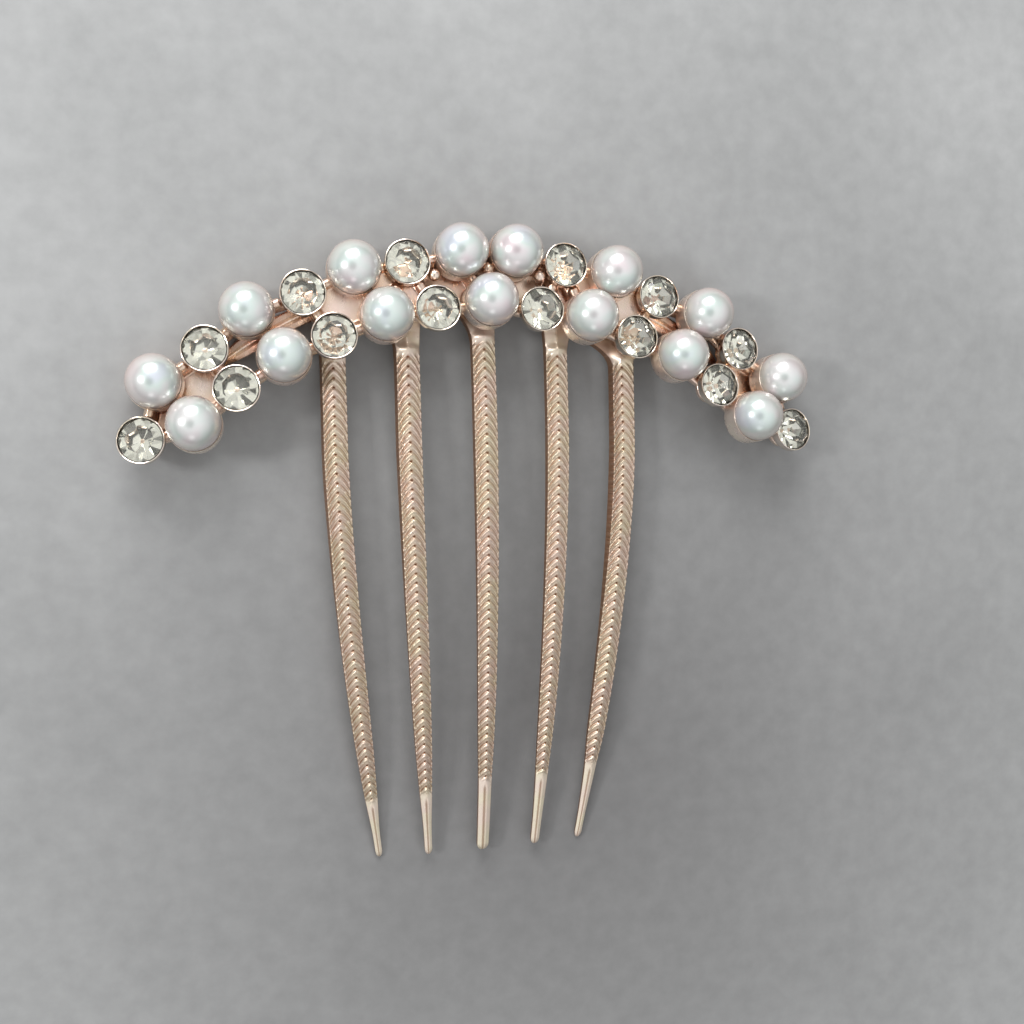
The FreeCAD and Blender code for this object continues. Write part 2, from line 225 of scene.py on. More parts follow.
def pearl_material():
    """Nacre lacquer: a silvery body with faint pink, green and blue clouds under a clear coat, and a beige
    rim that is a painted reflection of the gold and the floor.
    """
    material, tree, shader = new_material("pearl_nacre")
    clouds = object_noise(tree, 240.0, detail=2.0)
    body = ramp(tree, clouds, (
        (0.30, (0.75, 0.66, 0.68)), (0.45, (0.72, 0.73, 0.72)),
        (0.55, (0.64, 0.73, 0.69)), (0.70, (0.65, 0.69, 0.76)),
    ))
    # Painted reflection: towards its rim the pearl turns beige, as the gold and the floor round it would
    # show.
    rim = tree.nodes.new("ShaderNodeLayerWeight")
    rim.inputs["Blend"].default_value = 0.36
    edge = remapped(tree, rim.outputs["Facing"], 0.15, 0.85, 0.0, 1.0)
    tree.links.new(blended(tree, edge, body, (0.68, 0.53, 0.46)), shader.inputs["Base Color"])
    shader.inputs["Metallic"].default_value = 0.40
    shader.inputs["Roughness"].default_value = 0.27
    shader.inputs["Coat Weight"].default_value = 1.0
    shader.inputs["Coat Roughness"].default_value = 0.16
    shader.inputs["Coat IOR"].default_value = 1.7
    grain = object_noise(tree, 1500.0, detail=3.0)
    bump(tree, shader, grain, 0.05, 0.00002)
    return material


def crystal_material():
    """Cut glass with a faint warm grey tint."""
    material, tree, shader = new_material("crystal_glass")
    clouds = object_noise(tree, 300.0)
    tint = blended(tree, clouds, (0.99, 0.985, 0.95), (0.95, 0.955, 0.925))
    tree.links.new(tint, shader.inputs["Base Color"])
    shader.inputs["Roughness"].default_value = 0.0
    shader.inputs["IOR"].default_value = 1.56
    shader.inputs["Transmission Weight"].default_value = 1.0
    return material


def foil_material():
    """The mirror coating behind a crystal, a little uneven."""
    material, tree, shader = new_material("crystal_foil")
    clouds = object_noise(tree, 900.0)
    tree.links.new(blended(tree, clouds, (0.99, 0.98, 0.92), (0.93, 0.93, 0.88)), shader.inputs["Base Color"])
    shader.inputs["Metallic"].default_value = 0.88
    shader.inputs["Roughness"].default_value = 0.06
    return material


def floor_material():
    """A grey plastered board: soft clouds, fine mottle and a darker patch in the middle, a painted shadow of
    the comb.
    """
    material, tree, shader = new_material("grey_board")
    clouds = object_noise(tree, 28.0, detail=5.0)
    colour = ramp(tree, clouds, ((0.3, (0.37, 0.375, 0.375)), (0.7, (0.47, 0.475, 0.475))))
    # Painted shadow: the board darkens towards a spot near the comb.
    coordinates = tree.nodes.new("ShaderNodeTexCoord")
    distance = tree.nodes.new("ShaderNodeVectorMath")
    distance.operation = "DISTANCE"
    distance.inputs[1].default_value = (0.010, -0.026, 0.0)
    tree.links.new(coordinates.outputs["Object"], distance.inputs[0])
    painted_shadow = remapped(tree, distance.outputs["Value"], 0.010, 0.092, 1.0, 0.0)
    colour = blended(tree, painted_shadow, colour, (0.20, 0.198, 0.198))
    mottle = object_noise(tree, 400.0, detail=6.0)
    speckle = ramp(tree, mottle, ((0.3, (0.5, 0.5, 0.5)), (0.7, (1.0, 1.0, 1.0))))
    colour = blended(tree, 0.25, colour, speckle, "MULTIPLY")
    tree.links.new(colour, shader.inputs["Base Color"])
    shader.inputs["Roughness"].default_value = 0.75
    bump(tree, shader, object_noise(tree, 900.0, detail=4.0), 0.08, 0.0002)
    return material


# ---------------------------------------------------------------- mesh helpers
def new_object(name, points, faces, materials, smooth_angle=40.0):
    """A mesh object from points in metres, smooth but for edges sharper than the angle."""
    mesh = bpy.data.meshes.new(name)
    mesh.from_pydata([tuple(point) for point in points], [], faces)
    mesh.update()
    for material in materials:
        mesh.materials.append(material)
    if smooth_angle:
        mesh.shade_smooth()
        mesh.set_sharp_from_angle(angle=math.radians(smooth_angle))
    piece = bpy.data.objects.new(name, mesh)
    bpy.context.scene.collection.objects.link(piece)
    return piece


def stand_in(piece, slot, *nodes):
    """Makes a piece ride on the comb in place of CAD nodes."""
    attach(piece, "root")
    if nodes:
        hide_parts(*nodes)


def lathe(outline, segments, wobble=0.0):
    """Points and faces of a closed outline of (radius, height) turned about z, in mm."""
    points = []
    count = len(outline)
    phase = rng.uniform(0, 6.28)
    for step in range(segments):
        angle = 2 * math.pi * step / segments
        swell = wobble * math.sin(2 * angle + phase) + 0.5 * wobble * math.sin(5 * angle + 2 * phase)
        for radius, height in outline:
            reach = radius + swell
            points.append(Vector((reach * math.cos(angle), reach * math.sin(angle), height)))
    faces = []
    for step in range(segments):
        here = step * count
        there = ((step + 1) % segments) * count
        for index in range(count):
            after = (index + 1) % count
            faces.append((here + index, there + index, there + after, here + after))
    return points, faces


def skin_faces(rings, count):
    """Faces of a closed skin over rings of count points each, with a cap at either end."""
    faces = [tuple(range(count)), tuple(reversed(range((rings - 1) * count, rings * count)))]
    for ring in range(rings - 1):
        here, there = ring * count, (ring + 1) * count
        for index in range(count):
            after = (index + 1) % count
            faces.append((here + index, here + after, there + after, there + index))
    return faces


def merged(parts):
    """Several (points, faces) as one."""
    points, faces = [], []
    for some_points, some_faces in parts:
        base = len(points)
        points.extend(some_points)
        faces.extend(tuple(base + index for index in face) for face in some_faces)
    return points, faces


# ---------------------------------------------------------------- the stones' places
class Stone:
    """Where one stone stands: the middle of its seat and the way it faces, read from the CAD boxes."""

    def __init__(self, place, kind):
        self.place = place
        self.kind = kind
        node = f"pearl_{place}" if kind == "pearl" else f"crystal_cup_{place}"
        low, high = (Vector(corner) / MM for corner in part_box(node))
        middle = (low + high) / 2
        self.normal = Vector((2 * FACE_CROWN * middle.x, FACE_LEAN, 1)).normalized()
        if kind == "pearl":
            self.seat = middle - self.normal * PEARL_LIFT
        else:
            # The band sets the sides of a cup's box, and the tipped edge of its base sets the bottom.
            self.seat = middle - self.normal * (CUP_HEIGHT - CUP_BAND / 2)
            self.seat.z = low.z + CUP_BASE_RADIUS * self.normal.xy.length
        self.turn = Vector((0, 0, 1)).rotation_difference(self.normal).to_matrix()

    def at(self, point):
        """A point of the stone's own frame (mm, z along its normal) in the comb's frame (mm)."""
        return self.seat + self.turn @ Vector(point)


def find_stones():
    """All stones by place, in the order of the frame's nodes."""
    stones = {}
    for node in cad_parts:
        if node.startswith("crystal_cup_"):
            place = node[len("crystal_cup_"):]
            stones[place] = Stone(place, "crystal")
        elif node.startswith("pearl_") and node not in ("pearl_seats", "pearl_pins"):
            place = node[len("pearl_"):]
            stones[place] = Stone(place, "pearl")
    return stones


stones = find_stones()


def stone(row, side, number):
    """The stone of that number, counted from the middle outwards."""
    return stones[f"{row}_{side}_{number}"]


def in_frame(spot, points):
    """Points of a stone's own frame (mm) as metres in the comb's frame."""
    return [spot.at(point) * MM for point in points]


# ---------------------------------------------------------------- pearls and their seats
PEARL_RADIUS = 3.0
PEARL_HOLE = 0.45
PEARL_RINGS = 48
PEARL_SEGMENTS = 72


def make_pearl(spot, material):
    """A half-drilled pearl, very slightly uneven."""
    seed = Vector((rng.uniform(0, 50), rng.uniform(0, 50), rng.uniform(0, 50)))
    start = math.asin(PEARL_HOLE / PEARL_RADIUS)
    outline = []
    for ring in range(PEARL_RINGS):
        angle = start + (math.pi - 0.02 - start) * ring / (PEARL_RINGS - 1)
        outline.append((PEARL_RADIUS * math.sin(angle), PEARL_LIFT - PEARL_RADIUS * math.cos(angle)))
    outline.append((0.0005, PEARL_LIFT + PEARL_RADIUS))
    outline.append((0.0005, 2.5))
    outline.append((PEARL_HOLE, 2.4))
    points, faces = lathe(outline, PEARL_SEGMENTS)
    shaped = []
    for point in points:
        out = point - Vector((0, 0, PEARL_LIFT))
        if out.length > PEARL_RADIUS * 0.99:
            out *= 1 + 0.004 * noise.noise(out * 0.35 + seed)
        shaped.append(out + Vector((0, 0, PEARL_LIFT)))
    piece = new_object(f"nacre_pearl_{spot.place}", in_frame(spot, shaped), faces, [material], 60)
    stand_in(piece, "pearl", f"pearl_{spot.place}")


def make_seats(spots, material):
    """Drawn cups that hold the pearls almost up to their middles."""
    hollow_radius = PEARL_RADIUS + 0.02
    inside = []
    for height in (2.45, 2.2, 1.9, 1.6, 1.2, 0.8, 0.4, 0.2):
        inside.append((math.sqrt(hollow_radius ** 2 - (PEARL_LIFT - height) ** 2), height))
    outline = [(0.4, 0.0), (2.55, 0.0), (2.80, 0.08), (2.93, 0.25), (3.0, 0.6), (3.04, 1.2), (3.05, 2.30),
               (3.04, 2.44), (3.0, 2.49)] + inside + [(0.4, 0.08)]
    parts = []
    for spot in spots:
        points, faces = lathe(outline, 64, wobble=0.01)
        parts.append((in_frame(spot, points), faces))
    points, faces = merged(parts)
    stand_in(new_object("pearl_seat_cups", points, faces, [material]), "rose_gold_plate", "pearl_seats")


def make_pins(spots, material):
    """The short posts the pearls are glued on, rounded at the top."""
    outline = [(0.001, 0.02), (0.38, 0.02), (0.38, 1.9), (0.33, 2.08), (0.2, 2.18), (0.001, 2.2)]
    parts = []
    for spot in spots:
        points, faces = lathe(outline, 20)
        parts.append((in_frame(spot, points), faces))
    points, faces = merged(parts)
    stand_in(new_object("pearl_posts", points, faces, [material]), "rose_gold_plate", "pearl_pins")


# ---------------------------------------------------------------- crystals and their cups
def make_cup(spot, materials):
    """A tapered cup with a thin rolled rim, shadowed inside where the crystal drops in."""
    outline = [(1.0, 0.0), (1.60, 0.0), (1.72, 0.06), (2.50, 1.30), (2.57, 1.42), (2.6, 1.56),
               (2.6, 2.22), (2.595, 2.33), (2.56, 2.40), (2.51, 2.42), (2.46, 2.40), (2.43, 2.34),
               (2.40, 2.20), (2.39, 1.95), (2.2, 1.86), (1.45, 0.3), (1.0, 0.3)]
    rim_inside = 11
    points, faces = lathe(outline, 72, wobble=0.01)
    piece = new_object(f"bezel_cup_{spot.place}", in_frame(spot, points), faces, materials)
    for number, polygon in enumerate(piece.data.polygons):
        polygon.material_index = 1 if number % len(outline) >= rim_inside else 0
    stand_in(piece, "pale_gold_plate", f"crystal_cup_{spot.place}")


def cut_by_plane(solid, point, normal):
    """Takes away what lies beyond a plane and closes the cut with one flat face."""
    geometry = solid.verts[:] + solid.edges[:] + solid.faces[:]
    result = bmesh.ops.bisect_plane(solid, geom=geometry, plane_co=point, plane_no=normal,
                                    clear_outer=True, dist=1e-5)
    edges = [item for item in result["geom_cut"] if isinstance(item, bmesh.types.BMEdge)]
    if len(edges) > 2:
        bmesh.ops.contextual_create(solid, geom=edges)


def cut_crystal():
    """The facets of a small round crystal: a table and mains above, broad mains below.

    Gives its points, its faces, and which faces are foiled.
    """
    solid = bmesh.new()
    bmesh.ops.create_cone(solid, cap_ends=True, segments=48, depth=8,
                          radius1=STONE_RADIUS, radius2=STONE_RADIUS)
    crown = math.atan2(TABLE_HEIGHT - GIRDLE_HIGH, STONE_RADIUS - TABLE_RADIUS)
    pavilion = math.atan2(GIRDLE_LOW - CULET_HEIGHT, STONE_RADIUS)
    cuts = [((0, 0, TABLE_HEIGHT), 0.0, 0.0)]
    for index in range(CRYSTAL_MAINS):
        around = math.tau * index / CRYSTAL_MAINS
        between = around + math.tau / CRYSTAL_MAINS / 2
        cuts.append(((STONE_RADIUS, 0, GIRDLE_HIGH), crown, around))
        cuts.append(((0, 0, CULET_HEIGHT), math.pi - pavilion, between))
    for point, tilt, around in cuts:
        turn = Matrix.Rotation(around, 3, "Z")
        normal = turn @ Vector((math.sin(tilt), 0, math.cos(tilt)))
        cut_by_plane(solid, turn @ Vector(point), normal)
    bmesh.ops.remove_doubles(solid, verts=solid.verts[:], dist=1e-4)
    bmesh.ops.recalc_face_normals(solid, faces=solid.faces[:])
    points = [vertex.co.copy() for vertex in solid.verts]
    solid.verts.index_update()
    faces = [tuple(vertex.index for vertex in face.verts) for face in solid.faces]
    foiled = [face.normal.z < 0.2 for face in solid.faces]
    solid.free()
    return points, faces, foiled


def make_crystal(spot, cut, materials):
    """One foiled crystal, turned at random in its cup and set a little crooked."""
    points, faces, foiled = cut
    turn = Matrix.Rotation(rng.uniform(0, math.tau), 3, "Z")
    lean = Matrix.Rotation(math.radians(rng.uniform(-2.0, 2.0)), 3, "X")
    pivot = Vector((0, 0, GIRDLE_HIGH))
    set_points = [pivot + lean @ (turn @ (point - pivot)) for point in points]
    points = in_frame(spot, set_points)
    piece = new_object(f"cut_crystal_{spot.place}", points, faces, materials, smooth_angle=0)
    for polygon, foil in zip(piece.data.polygons, foiled):
        polygon.material_index = 1 if foil else 0
    stand_in(piece, "crystal", f"crystal_{spot.place}")


# ---------------------------------------------------------------- the rail
def rail_crown():
    """The crown of the arch on the rail's front face, in mm, from the CAD box."""
    high = Vector(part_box("back_rail")[1]) / MM
    crown_y = high.y - RAIL_WIDTH / 2 * math.cos(RAIL_TILT)
    crown_z = high.z - RAIL_WIDTH / 2 * math.sin(RAIL_TILT)
    return Vector((0, crown_y, crown_z))


RAIL_CROWN = rail_crown()
RAIL_STEPS = 180
RAIL_ENDING = 0.14          # share of each half over which the rail draws in to its end


def rail_point(angle, across, depth):
    """A point of the rail: angle from the crown, outwards across the arch, and depth behind its front."""
    reach = RAIL_RADIUS + across
    flat = Vector((reach * math.sin(angle), reach * math.cos(angle) - RAIL_RADIUS, -depth))
    return RAIL_CROWN + Matrix.Rotation(RAIL_TILT, 3, "X") @ flat


def make_rail(material):
    """The arched bar: two ribs with a groove between them, a flat back, and slim ends."""
    half = RAIL_WIDTH / 2
    back = RAIL_THICKNESS
    section = [(-half, 0.20), (-0.95, 0.03), (-0.42, 0.0), (-0.34, 0.10), (-0.08, 0.34), (0.08, 0.34),
               (0.34, 0.10), (0.42, 0.0), (0.95, 0.03), (half, 0.20), (half, back - 0.15),
               (half - 0.15, back), (0.15 - half, back), (-half, back - 0.15)]
    points = []
    for step in range(RAIL_STEPS + 1):
        share = 2 * step / RAIL_STEPS - 1
        to_end = min(1.0, (1 - abs(share)) / RAIL_ENDING)
        slim = 0.15 + 0.85 * math.sin(math.pi / 2 * to_end) ** 0.8
        middle = RAIL_THICKNESS * 0.75
        for across, depth in section:
            slim_depth = middle + (depth - middle) * (0.4 + 0.6 * slim)
            points.append(rail_point(RAIL_HALF_SWEEP * share, across * slim, slim_depth) * MM)
    faces = skin_faces(RAIL_STEPS + 1, len(section))
    piece = new_object("ribbed_back_rail", points, faces, [material], 35)
    stand_in(piece, "rose_gold_plate", "back_rail")


# ---------------------------------------------------------------- the tines
FRONT = np.linspace(-1, 1, 39)[None, :]     # shares of the half width, across the front
BACK = np.linspace(1, -1, 13)[None, :]      # and back again, across the back
ACROSS = np.abs(FRONT)
RING_STEP = 0.085           # mm from one section of a tine to the next
# Width along a tine as shares of the full width, before it is drawn in to the tip.
WIDTH_AT = ((0.0, 0.97), (0.30, 1.0), (0.50, 0.92), (0.70, 0.79), (0.80, 0.68))
TIP_ROUND = 0.9             # mm over which the very tip closes
TINE_SHIFT = -0.15          # the necks stand a little to the left of the middle of their tines
TINE_TURN = 1.5             # how late the tines turn inwards; 1 would be at once
TINE_DROP = -0.22           # lowers the sections, whose crests stand higher than their backs
NECK_SHARE = 0.053          # share of a tine's length over which its neck spreads
TWIST_FADE = (0.15, 0.55)   # shares of the length between which the twist dies away
SLANT_FADE = (0.30, 0.65)   # and between which the left wall stands up straight again
WALL_SHARE = 0.66           # height of a tine's side walls, as a share of its half width
CREST_RISE = 0.50           # rise of the front to its crest
BACK_RISE = 0.26            # swell of the back
SCALE_PITCH = 1.07          # mm from one scale of the braid to the next
SCALE_SLOPE = 0.82          # how steeply the scales leave the crest
SCALE_DROOP = 0.42          # how much more they turn down towards the tine's edges
SCALE_DEPTH = 0.30
PIT_DEPTH = 0.6             # the small pits where the scales meet on the crest
LEAF_DEPTH = 0.30           # the groove along the smooth end


def eased(low, high, value):
    """0 below low and 1 above high, with a smooth step between."""
    share = np.clip((value - low) / (high - low), 0, 1)
    return share * share * (3 - 2 * share)


def hump(value, centre, width):
    """1 at centre, dying away on both sides."""
    return np.exp(-((value - centre) / width) ** 2)


def smoothed(column, reach):
    """A column of numbers, each averaged with its neighbours."""
    kernel = np.hanning(2 * reach + 1)
    padded = np.pad(column[:, 0], reach, mode="edge")
    return np.convolve(padded, kernel / kernel.sum(), mode="valid")[:, None]


def ring_hump(part, centre, width):
    """A hump on a round of length 1, so that it carries on from the end to the start."""
    apart = np.abs(part - centre)
    return hump(np.minimum(apart, 1 - apart), 0, width)


def scale_profile(part):
    """Height of the braid across one scale: a broad ridge and a narrow, lower second one."""
    return ring_hump(part, 0.20, 0.22) + 0.42 * ring_hump(part, 0.64, 0.12)


def tine_line(name, spec):
    """The middle of a tine's sections from the rail to the tip, as columns of share and of points (mm)."""
    low, high = (Vector(corner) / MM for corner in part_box(name))
    side = math.copysign(1, low.x + high.x) if abs(low.x + high.x) > 1 else 0
    root_x = side * (max(abs(low.x), abs(high.x)) - TINE_WIDTH / 2)
    tip_x = side * (min(abs(low.x), abs(high.x)) + TINE_WIDTH * 0.15)
    root = rail_point(math.asin(root_x / RAIL_RADIUS), 0, RAIL_THICKNESS / 2)
    length = root.y - low.y
    share = np.linspace(0, 1, int(length / RING_STEP))[:, None]
    turn_in = np.clip((share - TINE_STRAIGHT) / (1 - TINE_STRAIGHT), 0, 1)
    x = root_x - (root_x - tip_x) * turn_in ** TINE_TURN + TINE_SHIFT * (1 - share)
    y = root.y - share * length
    z = root.z * (1 - share) + spec["tip"] * share + 4 * spec["bow"] * share * (1 - share) + TINE_DROP
    return share, length, np.concatenate([x, y, z], axis=1)


def half_widths(spec, share, length):
    """Half the width of a tine's sections, with a smooth taper and a rounded tip."""
    stations = [at for at, _ in WIDTH_AT] + [spec["braid"][1], 0.95, 1.0]
    widths = [spec["width"] * part for _, part in WIDTH_AT]
    widths += [1.25 + 0.25 * spec["tip_width"], spec["tip_width"] * 1.06, spec["tip_width"]]
    half = smoothed(np.interp(share, stations, widths), 30) / 2
    closing = np.clip((1 - share) * length / TIP_ROUND, 0, 1)
    return np.maximum(half * np.sqrt(closing * (2 - closing)), 0.02)


def on_sides(places, left, right):
    """The left or the right number for each place across a tine."""
    return np.where(places < 0, left, right)


def tine_shape(spec, share, length, half):
    """Offsets of a tine's skin from its line, sideways and upwards (mm), and how much painted shade each
    point gets.
    """
    distance = share * length
    start, end = spec["braid"]
    braid = eased(start, start + 0.010, share) * (1 - eased(end - 0.010, end + 0.004, share))
    leaf = (1 - braid) * eased(end, end + 0.02, share)
    neck = np.clip((start + 0.013 - share) / NECK_SHARE, 0, 1) ** 2.2
    flat = np.clip(neck * 1.3, 0, 1)

    bent = np.sqrt(ACROSS ** 2 + 0.01)
    phase = (distance - half * (SCALE_SLOPE * bent + SCALE_DROOP * bent ** 3)) / SCALE_PITCH
    part = phase - np.floor(phase)
    scales = scale_profile(part)
    pits = PIT_DEPTH * hump(ACROSS, 0.02, 0.09) * ring_hump(part, 0.88, 0.10)
    border = 1 - 0.7 * eased(0.86, 1.0, ACROSS)
    relief = SCALE_DEPTH * braid * border * ((scales - 1) * (0.75 + 0.4 * ACROSS) - pits + 0.5)

    ridge = 1 - np.sqrt(FRONT ** 2 + 0.012)
    wall = WALL_SHARE * half * (1 + 0.1 * leaf)
    leaf_groove = -LEAF_DEPTH * leaf * half * hump(FRONT, -0.05, 0.20)
    lug = spec["lug"] * hump(distance, (start - 0.004) * length, 0.5) * (1 - FRONT ** 4)
    front_z = wall / 2 + CREST_RISE * half * (1 - 0.6 * flat) * ridge + relief + leaf_groove + lug
    back_z = -wall / 2 - BACK_RISE * half * (1 - BACK ** 2) * (1 - flat)

    notches = 1 + 0.02 * braid * (scales[:, :1] - 0.5)
    slant = on_sides(FRONT, spec["slant"], 0) * (1 - eased(*SLANT_FADE, share))
    front_x = FRONT * (half * notches - slant + on_sides(FRONT, spec["left"], spec["right"]) * neck)
    back_x = BACK * (half * 0.94 + on_sides(BACK, spec["left"], spec["right"]) * neck)

    # Painted shade: dark in the braid's grooves and pits, lighter on the right half, which faces the light;
    # along the leaf groove; on the left of a spread neck, which the stones shade; on the side walls, the left
    # one darker.
    groove = np.clip(1.25 - 1.9 * scales, 0, 1) * (0.6 + 0.4 * hump(ACROSS, 0.62, 0.42))
    groove = braid * border * (groove * on_sides(FRONT, 1.0, 0.7) + 1.4 * pits)
    groove = groove + 0.8 * leaf * hump(FRONT, -0.05, 0.12)
    groove = np.clip(groove + 0.8 * np.clip(spec["left"] * neck, 0, 1) * (FRONT < 0), 0, 1)
    groove[:, 0] = 0.8
    groove[:, -1] = 0.4
    # Painted shade on the back, darkest at the left edge.
    back_shade = 0.15 + 0.6 * np.clip(-BACK, 0, 1) ** 4 + 0.3 * np.clip(BACK, 0, 1) ** 4 + 0 * back_x

    beside = np.concatenate([front_x, back_x], axis=1)
    above = np.concatenate([front_z, back_z], axis=1)
    return beside, above, np.concatenate([groove, back_shade], axis=1)


def make_tine(name, spec, material):
    """A tine as a dense skin: a ridged front with the braid's scales, plain sides and back."""
    share, length, centre = tine_line(name, spec)
    half = half_widths(spec, share, length)
    flat_x, flat_z, painted_shade = tine_shape(spec, share, length, half)
    # The spread neck stays level; only the tine's own width is twisted.
    twist = math.radians(spec["twist"]) * (1 - eased(*TWIST_FADE, share))
    body_x = np.clip(flat_x, -half, half)
    offsets_x = (flat_x - body_x * (1 - np.cos(twist)) - flat_z * np.sin(twist))[:, :, None]
    offsets_z = (body_x * np.sin(twist) + flat_z * np.cos(twist))[:, :, None]
    # Sections stand square to the tine's line.
    along = np.gradient(centre, axis=0)
    along /= np.linalg.norm(along, axis=1)[:, None]
    sideways = np.cross(along, np.array([0.0, 0.0, 1.0]))
    sideways /= np.linalg.norm(sideways, axis=1)[:, None]
    sideways *= np.sign(sideways[:, :1])
    upwards = np.cross(sideways, along)
    upwards *= np.sign(upwards[:, 2:])
    points = centre[:, None, :] + offsets_x * sideways[:, None, :] + offsets_z * upwards[:, None, :]
    points = (points.reshape(-1, 3) * MM).tolist()
    piece = new_object(f"braided_{name}", points, skin_faces(*flat_x.shape), [material], 50)
    # The painted shade rides along as a mesh attribute for the plate material.
    attribute = piece.data.attributes.new("painted_shade", "FLOAT", "POINT")
    attribute.data.foreach_set("value", painted_shade.reshape(-1))
    stand_in(piece, "rose_gold_plate", name)


# ---------------------------------------------------------------- the gallery
SPECK = 0.001               # radius that closes a lathed end, in mm
PAD_OUTLINE = ((SPECK, -0.7), (1.6, -0.7), (1.75, -0.5), (1.75, 0.06), (SPECK, 0.06))
# Heights are measured from the plane the stones' seats stand on.
LINK_HEIGHT = -0.35
LINK_RADIUS = 0.72
BRIDGE_HEIGHT = 1.0         # short bars that tie neighbouring walls together
BRIDGE_RADIUS = 0.62
BRIDGE_REACH = 0.55
WEB_HEIGHT = -0.75
WEB_THICKNESS = 0.5
HIGH_WEB_HEIGHT = 0.7
HIGH_WEB_THICKNESS = 0.6
BEAD_RADIUS = 0.75
BEAD_HEIGHT = 1.55
CROWN_BEAD_HEIGHT = 1.9
GALLERY_VOXEL = 0.13


def rod(start, end, radius):
    """Points and faces of a round bar between two points (mm)."""
    run = end - start
    turn = Vector((0, 0, 1)).rotation_difference(run).to_matrix()
    outline = [(SPECK, 0.0), (radius, 0.0), (radius, run.length), (SPECK, run.length)]
    points, faces = lathe(outline, 14)
    return [start + turn @ point for point in points], faces


def ball(centre, radius):
    """Points and faces of a bead (mm)."""
    outline = []
    for step in range(11):
        angle = math.pi * step / 10
        outline.append((max(SPECK, radius * math.sin(angle)), -radius * math.cos(angle)))
    points, faces = lathe(outline, 20)
    return [centre + point for point in points], faces


def midpoint(spots, height):
    """The middle between stones, at a height above the plane their seats stand on."""
    return sum((spot.at((0, 0, height)) for spot in spots), Vector()) / len(spots)


def plate(corners, thickness):
    """A flat prism over corners, thick along their common normal."""
    normal = (corners[1] - corners[0]).cross(corners[2] - corners[0]).normalized()
    if normal.z < 0:
        normal = -normal
    count = len(corners)
    points = [corner + normal * thickness / 2 for corner in corners]
    points += [corner - normal * thickness / 2 for corner in corners]
    faces = [tuple(range(count)), tuple(reversed(range(count, 2 * count)))]
    for index in range(count):
        after = (index + 1) % count
        faces.append((index, count + index, count + after, after))
    return points, faces


def neighbour_pairs():
    """The pairs of stones that a link joins."""
    pairs = [(stone("upper", "left", 1), stone("upper", "right", 1))]
    middle = stones["middle"]
    for side in ("left", "right"):
        top = [stone("upper", side, number) for number in range(1, 8)]
        bottom = [stone("lower", side, number) for number in range(1, 8)]
        pairs += [(middle, top[0]), (middle, bottom[0]), (bottom[1], top[1]), (bottom[6], top[6])]
        for index in range(6):
            pairs.append((top[index], top[index + 1]))
            pairs.append((bottom[index], bottom[index + 1]))
            pairs.append((bottom[index], top[index + 1]))
    return pairs


def stone_trios():
    """The three stones round each webbed gap, and whether the web stands high and catches the light."""
    trios = [((stone("upper", "left", 1), stone("upper", "right", 1), stones["middle"]), False)]
    for side, high_under, high_over in (("left", (1, 2), (0, 1)), ("right", (1, 2), (1,))):
        top = [stone("upper", side, number) for number in range(1, 8)]
        bottom = [stone("lower", side, number) for number in range(1, 8)]
        trios.append(((stones["middle"], top[0], bottom[0]), False))
        for index in WEBS_UNDER_UPPER_ROW:
            trios.append(((top[index], top[index + 1], bottom[index]), index in high_under))
        for index in WEBS_OVER_LOWER_ROW:
            trios.append(((bottom[index], top[index + 1], bottom[index + 1]), index in high_over))
    return trios


def make_gallery(material):
    """Pads, links, webs and beads, grown together as cast and soldered metal is."""
    parts = []
    for spot in stones.values():
        points, faces = lathe(PAD_OUTLINE, 32)
        parts.append(([spot.at(point) for point in points], faces))
    for one, other in neighbour_pairs():
        parts.append(rod(one.at((0, 0, LINK_HEIGHT)), other.at((0, 0, LINK_HEIGHT)), LINK_RADIUS))
        run = other.at((0, 0, BRIDGE_HEIGHT)) - one.at((0, 0, BRIDGE_HEIGHT))
        middle = midpoint((one, other), BRIDGE_HEIGHT)
        reach = run.normalized() * BRIDGE_REACH
        parts.append(rod(middle - reach, middle + reach, BRIDGE_RADIUS))
    for trio, high in stone_trios():
        parts.append(plate([spot.at((0, 0, WEB_HEIGHT)) for spot in trio], WEB_THICKNESS))
        if high:
            parts.append(plate([spot.at((0, 0, HIGH_WEB_HEIGHT)) for spot in trio], HIGH_WEB_THICKNESS))
    for side in ("left", "right"):
        trio = (stone("upper", side, 1), stone("upper", side, 2), stone("lower", side, 1))
        parts.append(ball(midpoint(trio, BEAD_HEIGHT), BEAD_RADIUS))
    crown = (stone("upper", "left", 1), stone("upper", "right", 1), stones["middle"])
    parts.append(ball(midpoint(crown, CROWN_BEAD_HEIGHT), BEAD_RADIUS))
    points, faces = merged(parts)
    rough = new_object("cast_gallery", [point * MM for point in points], faces, [material], 0)
    remesh = rough.modifiers.new("grow", "REMESH")
    remesh.mode = "VOXEL"
    remesh.voxel_size = GALLERY_VOXEL * MM
    smooth = rough.modifiers.new("soften", "SMOOTH")
    smooth.iterations = 6
    smooth.factor = 0.5
    bpy.context.view_layer.update()
    evaluated = rough.evaluated_get(bpy.context.evaluated_depsgraph_get())
    mesh = bpy.data.meshes.new_from_object(evaluated)
    rough.modifiers.clear()
    rough.data = mesh
    mesh.materials.clear()
    mesh.materials.append(material)
    mesh.shade_smooth()
    stand_in(rough, "rose_gold_plate", "gallery")


# ---------------------------------------------------------------- floor, lights and sky
def make_floor(material):
    """A board under the comb, 1.2 m wide."""
    edge = 0.6
    corners = [(-edge, -edge, 0), (edge, -edge, 0), (edge, edge, 0), (-edge, edge, 0)]
    board = new_object("pale_board", corners, [(0, 1, 2, 3)], [material], 0)


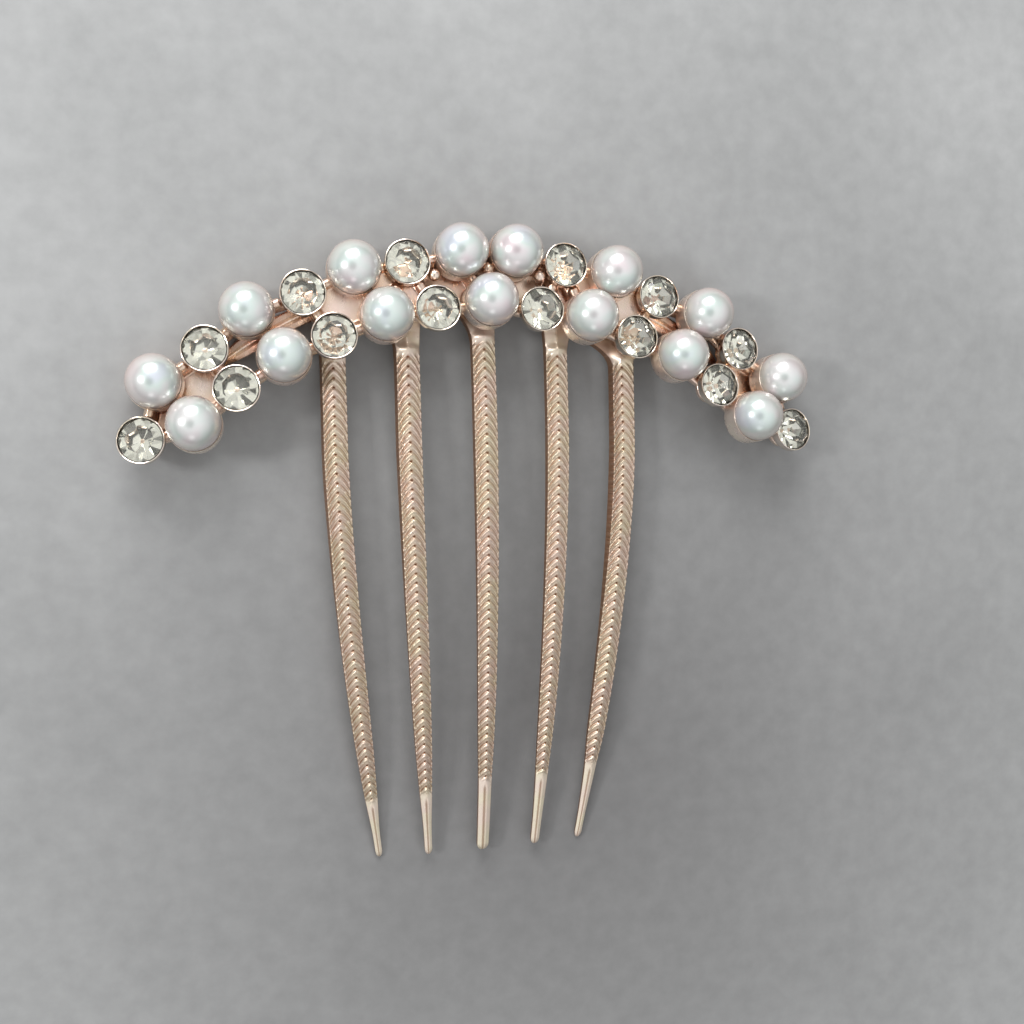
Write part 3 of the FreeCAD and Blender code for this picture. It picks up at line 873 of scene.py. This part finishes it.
def soft_light(name, place_mm, size_mm, power):
    """A white softbox aimed at the middle of the comb."""
    lamp = bpy.data.lights.new(name, "AREA")
    lamp.shape = "RECTANGLE"
    lamp.size = size_mm[0] * MM
    lamp.size_y = size_mm[1] * MM
    lamp.energy = power
    holder = bpy.data.objects.new(name, lamp)
    spot = Vector(place_mm) * MM
    holder.location = spot
    holder.rotation_euler = (-spot).to_track_quat("-Z", "Y").to_euler()
    bpy.context.scene.collection.objects.link(holder)


def make_sky(towards_camera):
    """A white tent, greyer low down, with a dark opening for the lens and a small bright gap in front."""
    world = bpy.data.worlds.new("tent")
    world.use_nodes = True
    bpy.context.scene.world = world
    tree = world.node_tree
    background = tree.nodes["Background"]
    coordinates = tree.nodes.new("ShaderNodeTexCoord")
    apart = tree.nodes.new("ShaderNodeSeparateXYZ")
    tree.links.new(coordinates.outputs["Generated"], apart.inputs["Vector"])
    tent = ramp(tree, remapped(tree, apart.outputs["Z"], -0.2, 1.0, 0.0, 1.0), (
        (0.0, (0.05, 0.045, 0.04)), (0.2, (0.12, 0.11, 0.105)),
        (0.5, (0.45, 0.445, 0.44)), (1.0, (1.02, 1.03, 1.04)),
    ))

    def spot_towards(direction, faint, full):
        facing = tree.nodes.new("ShaderNodeVectorMath")
        facing.operation = "DOT_PRODUCT"
        facing.inputs[1].default_value = Vector(direction).normalized()
        tree.links.new(coordinates.outputs["Generated"], facing.inputs[0])
        return remapped(tree, facing.outputs["Value"], faint, full, 0.0, 1.0)

    lens = spot_towards(towards_camera + Vector((-0.05, -0.14, 0)), 0.930, 0.985)
    gap = spot_towards((-0.14, -0.80, 0.48), 0.982, 0.992)
    colour = blended(tree, lens, tent, (0.03, 0.03, 0.03))
    colour = blended(tree, gap, colour, (1.5, 1.5, 1.5))
    tree.links.new(colour, background.inputs["Color"])
    background.inputs["Strength"].default_value = 1.0


# ---------------------------------------------------------------- the whole scene
towards_camera = make_camera()
# The third colour of each plate is its painted shade.
rose = plated_metal("rose_gold", (0.94, 0.77, 0.68), (0.92, 0.80, 0.65), (0.42, 0.20, 0.11), 0.28)
braided = plated_metal("braided_gold", (0.98, 0.83, 0.72), (0.96, 0.88, 0.68), (0.27, 0.125, 0.06), 0.38,
                       metallic=0.75, contact_shade=0.0)
blush = plated_metal("blush_gold", (0.95, 0.81, 0.74), (0.93, 0.84, 0.73), (0.58, 0.40, 0.30), 0.30,
                     metallic=0.85, contact_shade=0.6)
pale = plated_metal("pale_gold", (0.92, 0.82, 0.75), (0.90, 0.82, 0.70), (0.45, 0.32, 0.25), 0.16)
shadowed = plated_metal("shadowed_gold", (0.26, 0.20, 0.16), (0.22, 0.18, 0.14), (0.08, 0.05, 0.04), 0.30)
pearl = pearl_material()
crystal_materials = [crystal_material(), foil_material()]
pearl_spots = [spot for spot in stones.values() if spot.kind == "pearl"]
crystal_spots = [spot for spot in stones.values() if spot.kind == "crystal"]
for spot in pearl_spots:
    make_pearl(spot, pearl)
make_seats(pearl_spots, blush)
make_pins(pearl_spots, rose)
facets = cut_crystal()
for spot in crystal_spots:
    make_cup(spot, [pale, shadowed])
    make_crystal(spot, facets, crystal_materials)
make_rail(rose)
make_gallery(rose)
for name, spec in TINES.items():
    make_tine(name, spec, braided)
make_floor(floor_material())
soft_light("top_softbox", (-100, 390, 240), (300, 220), 1.7)
soft_light("left_lamp", (-330, 60, 240), (60, 60), 0.5)
make_sky(towards_camera)
bpy.context.scene.view_settings.view_transform = "Standard"
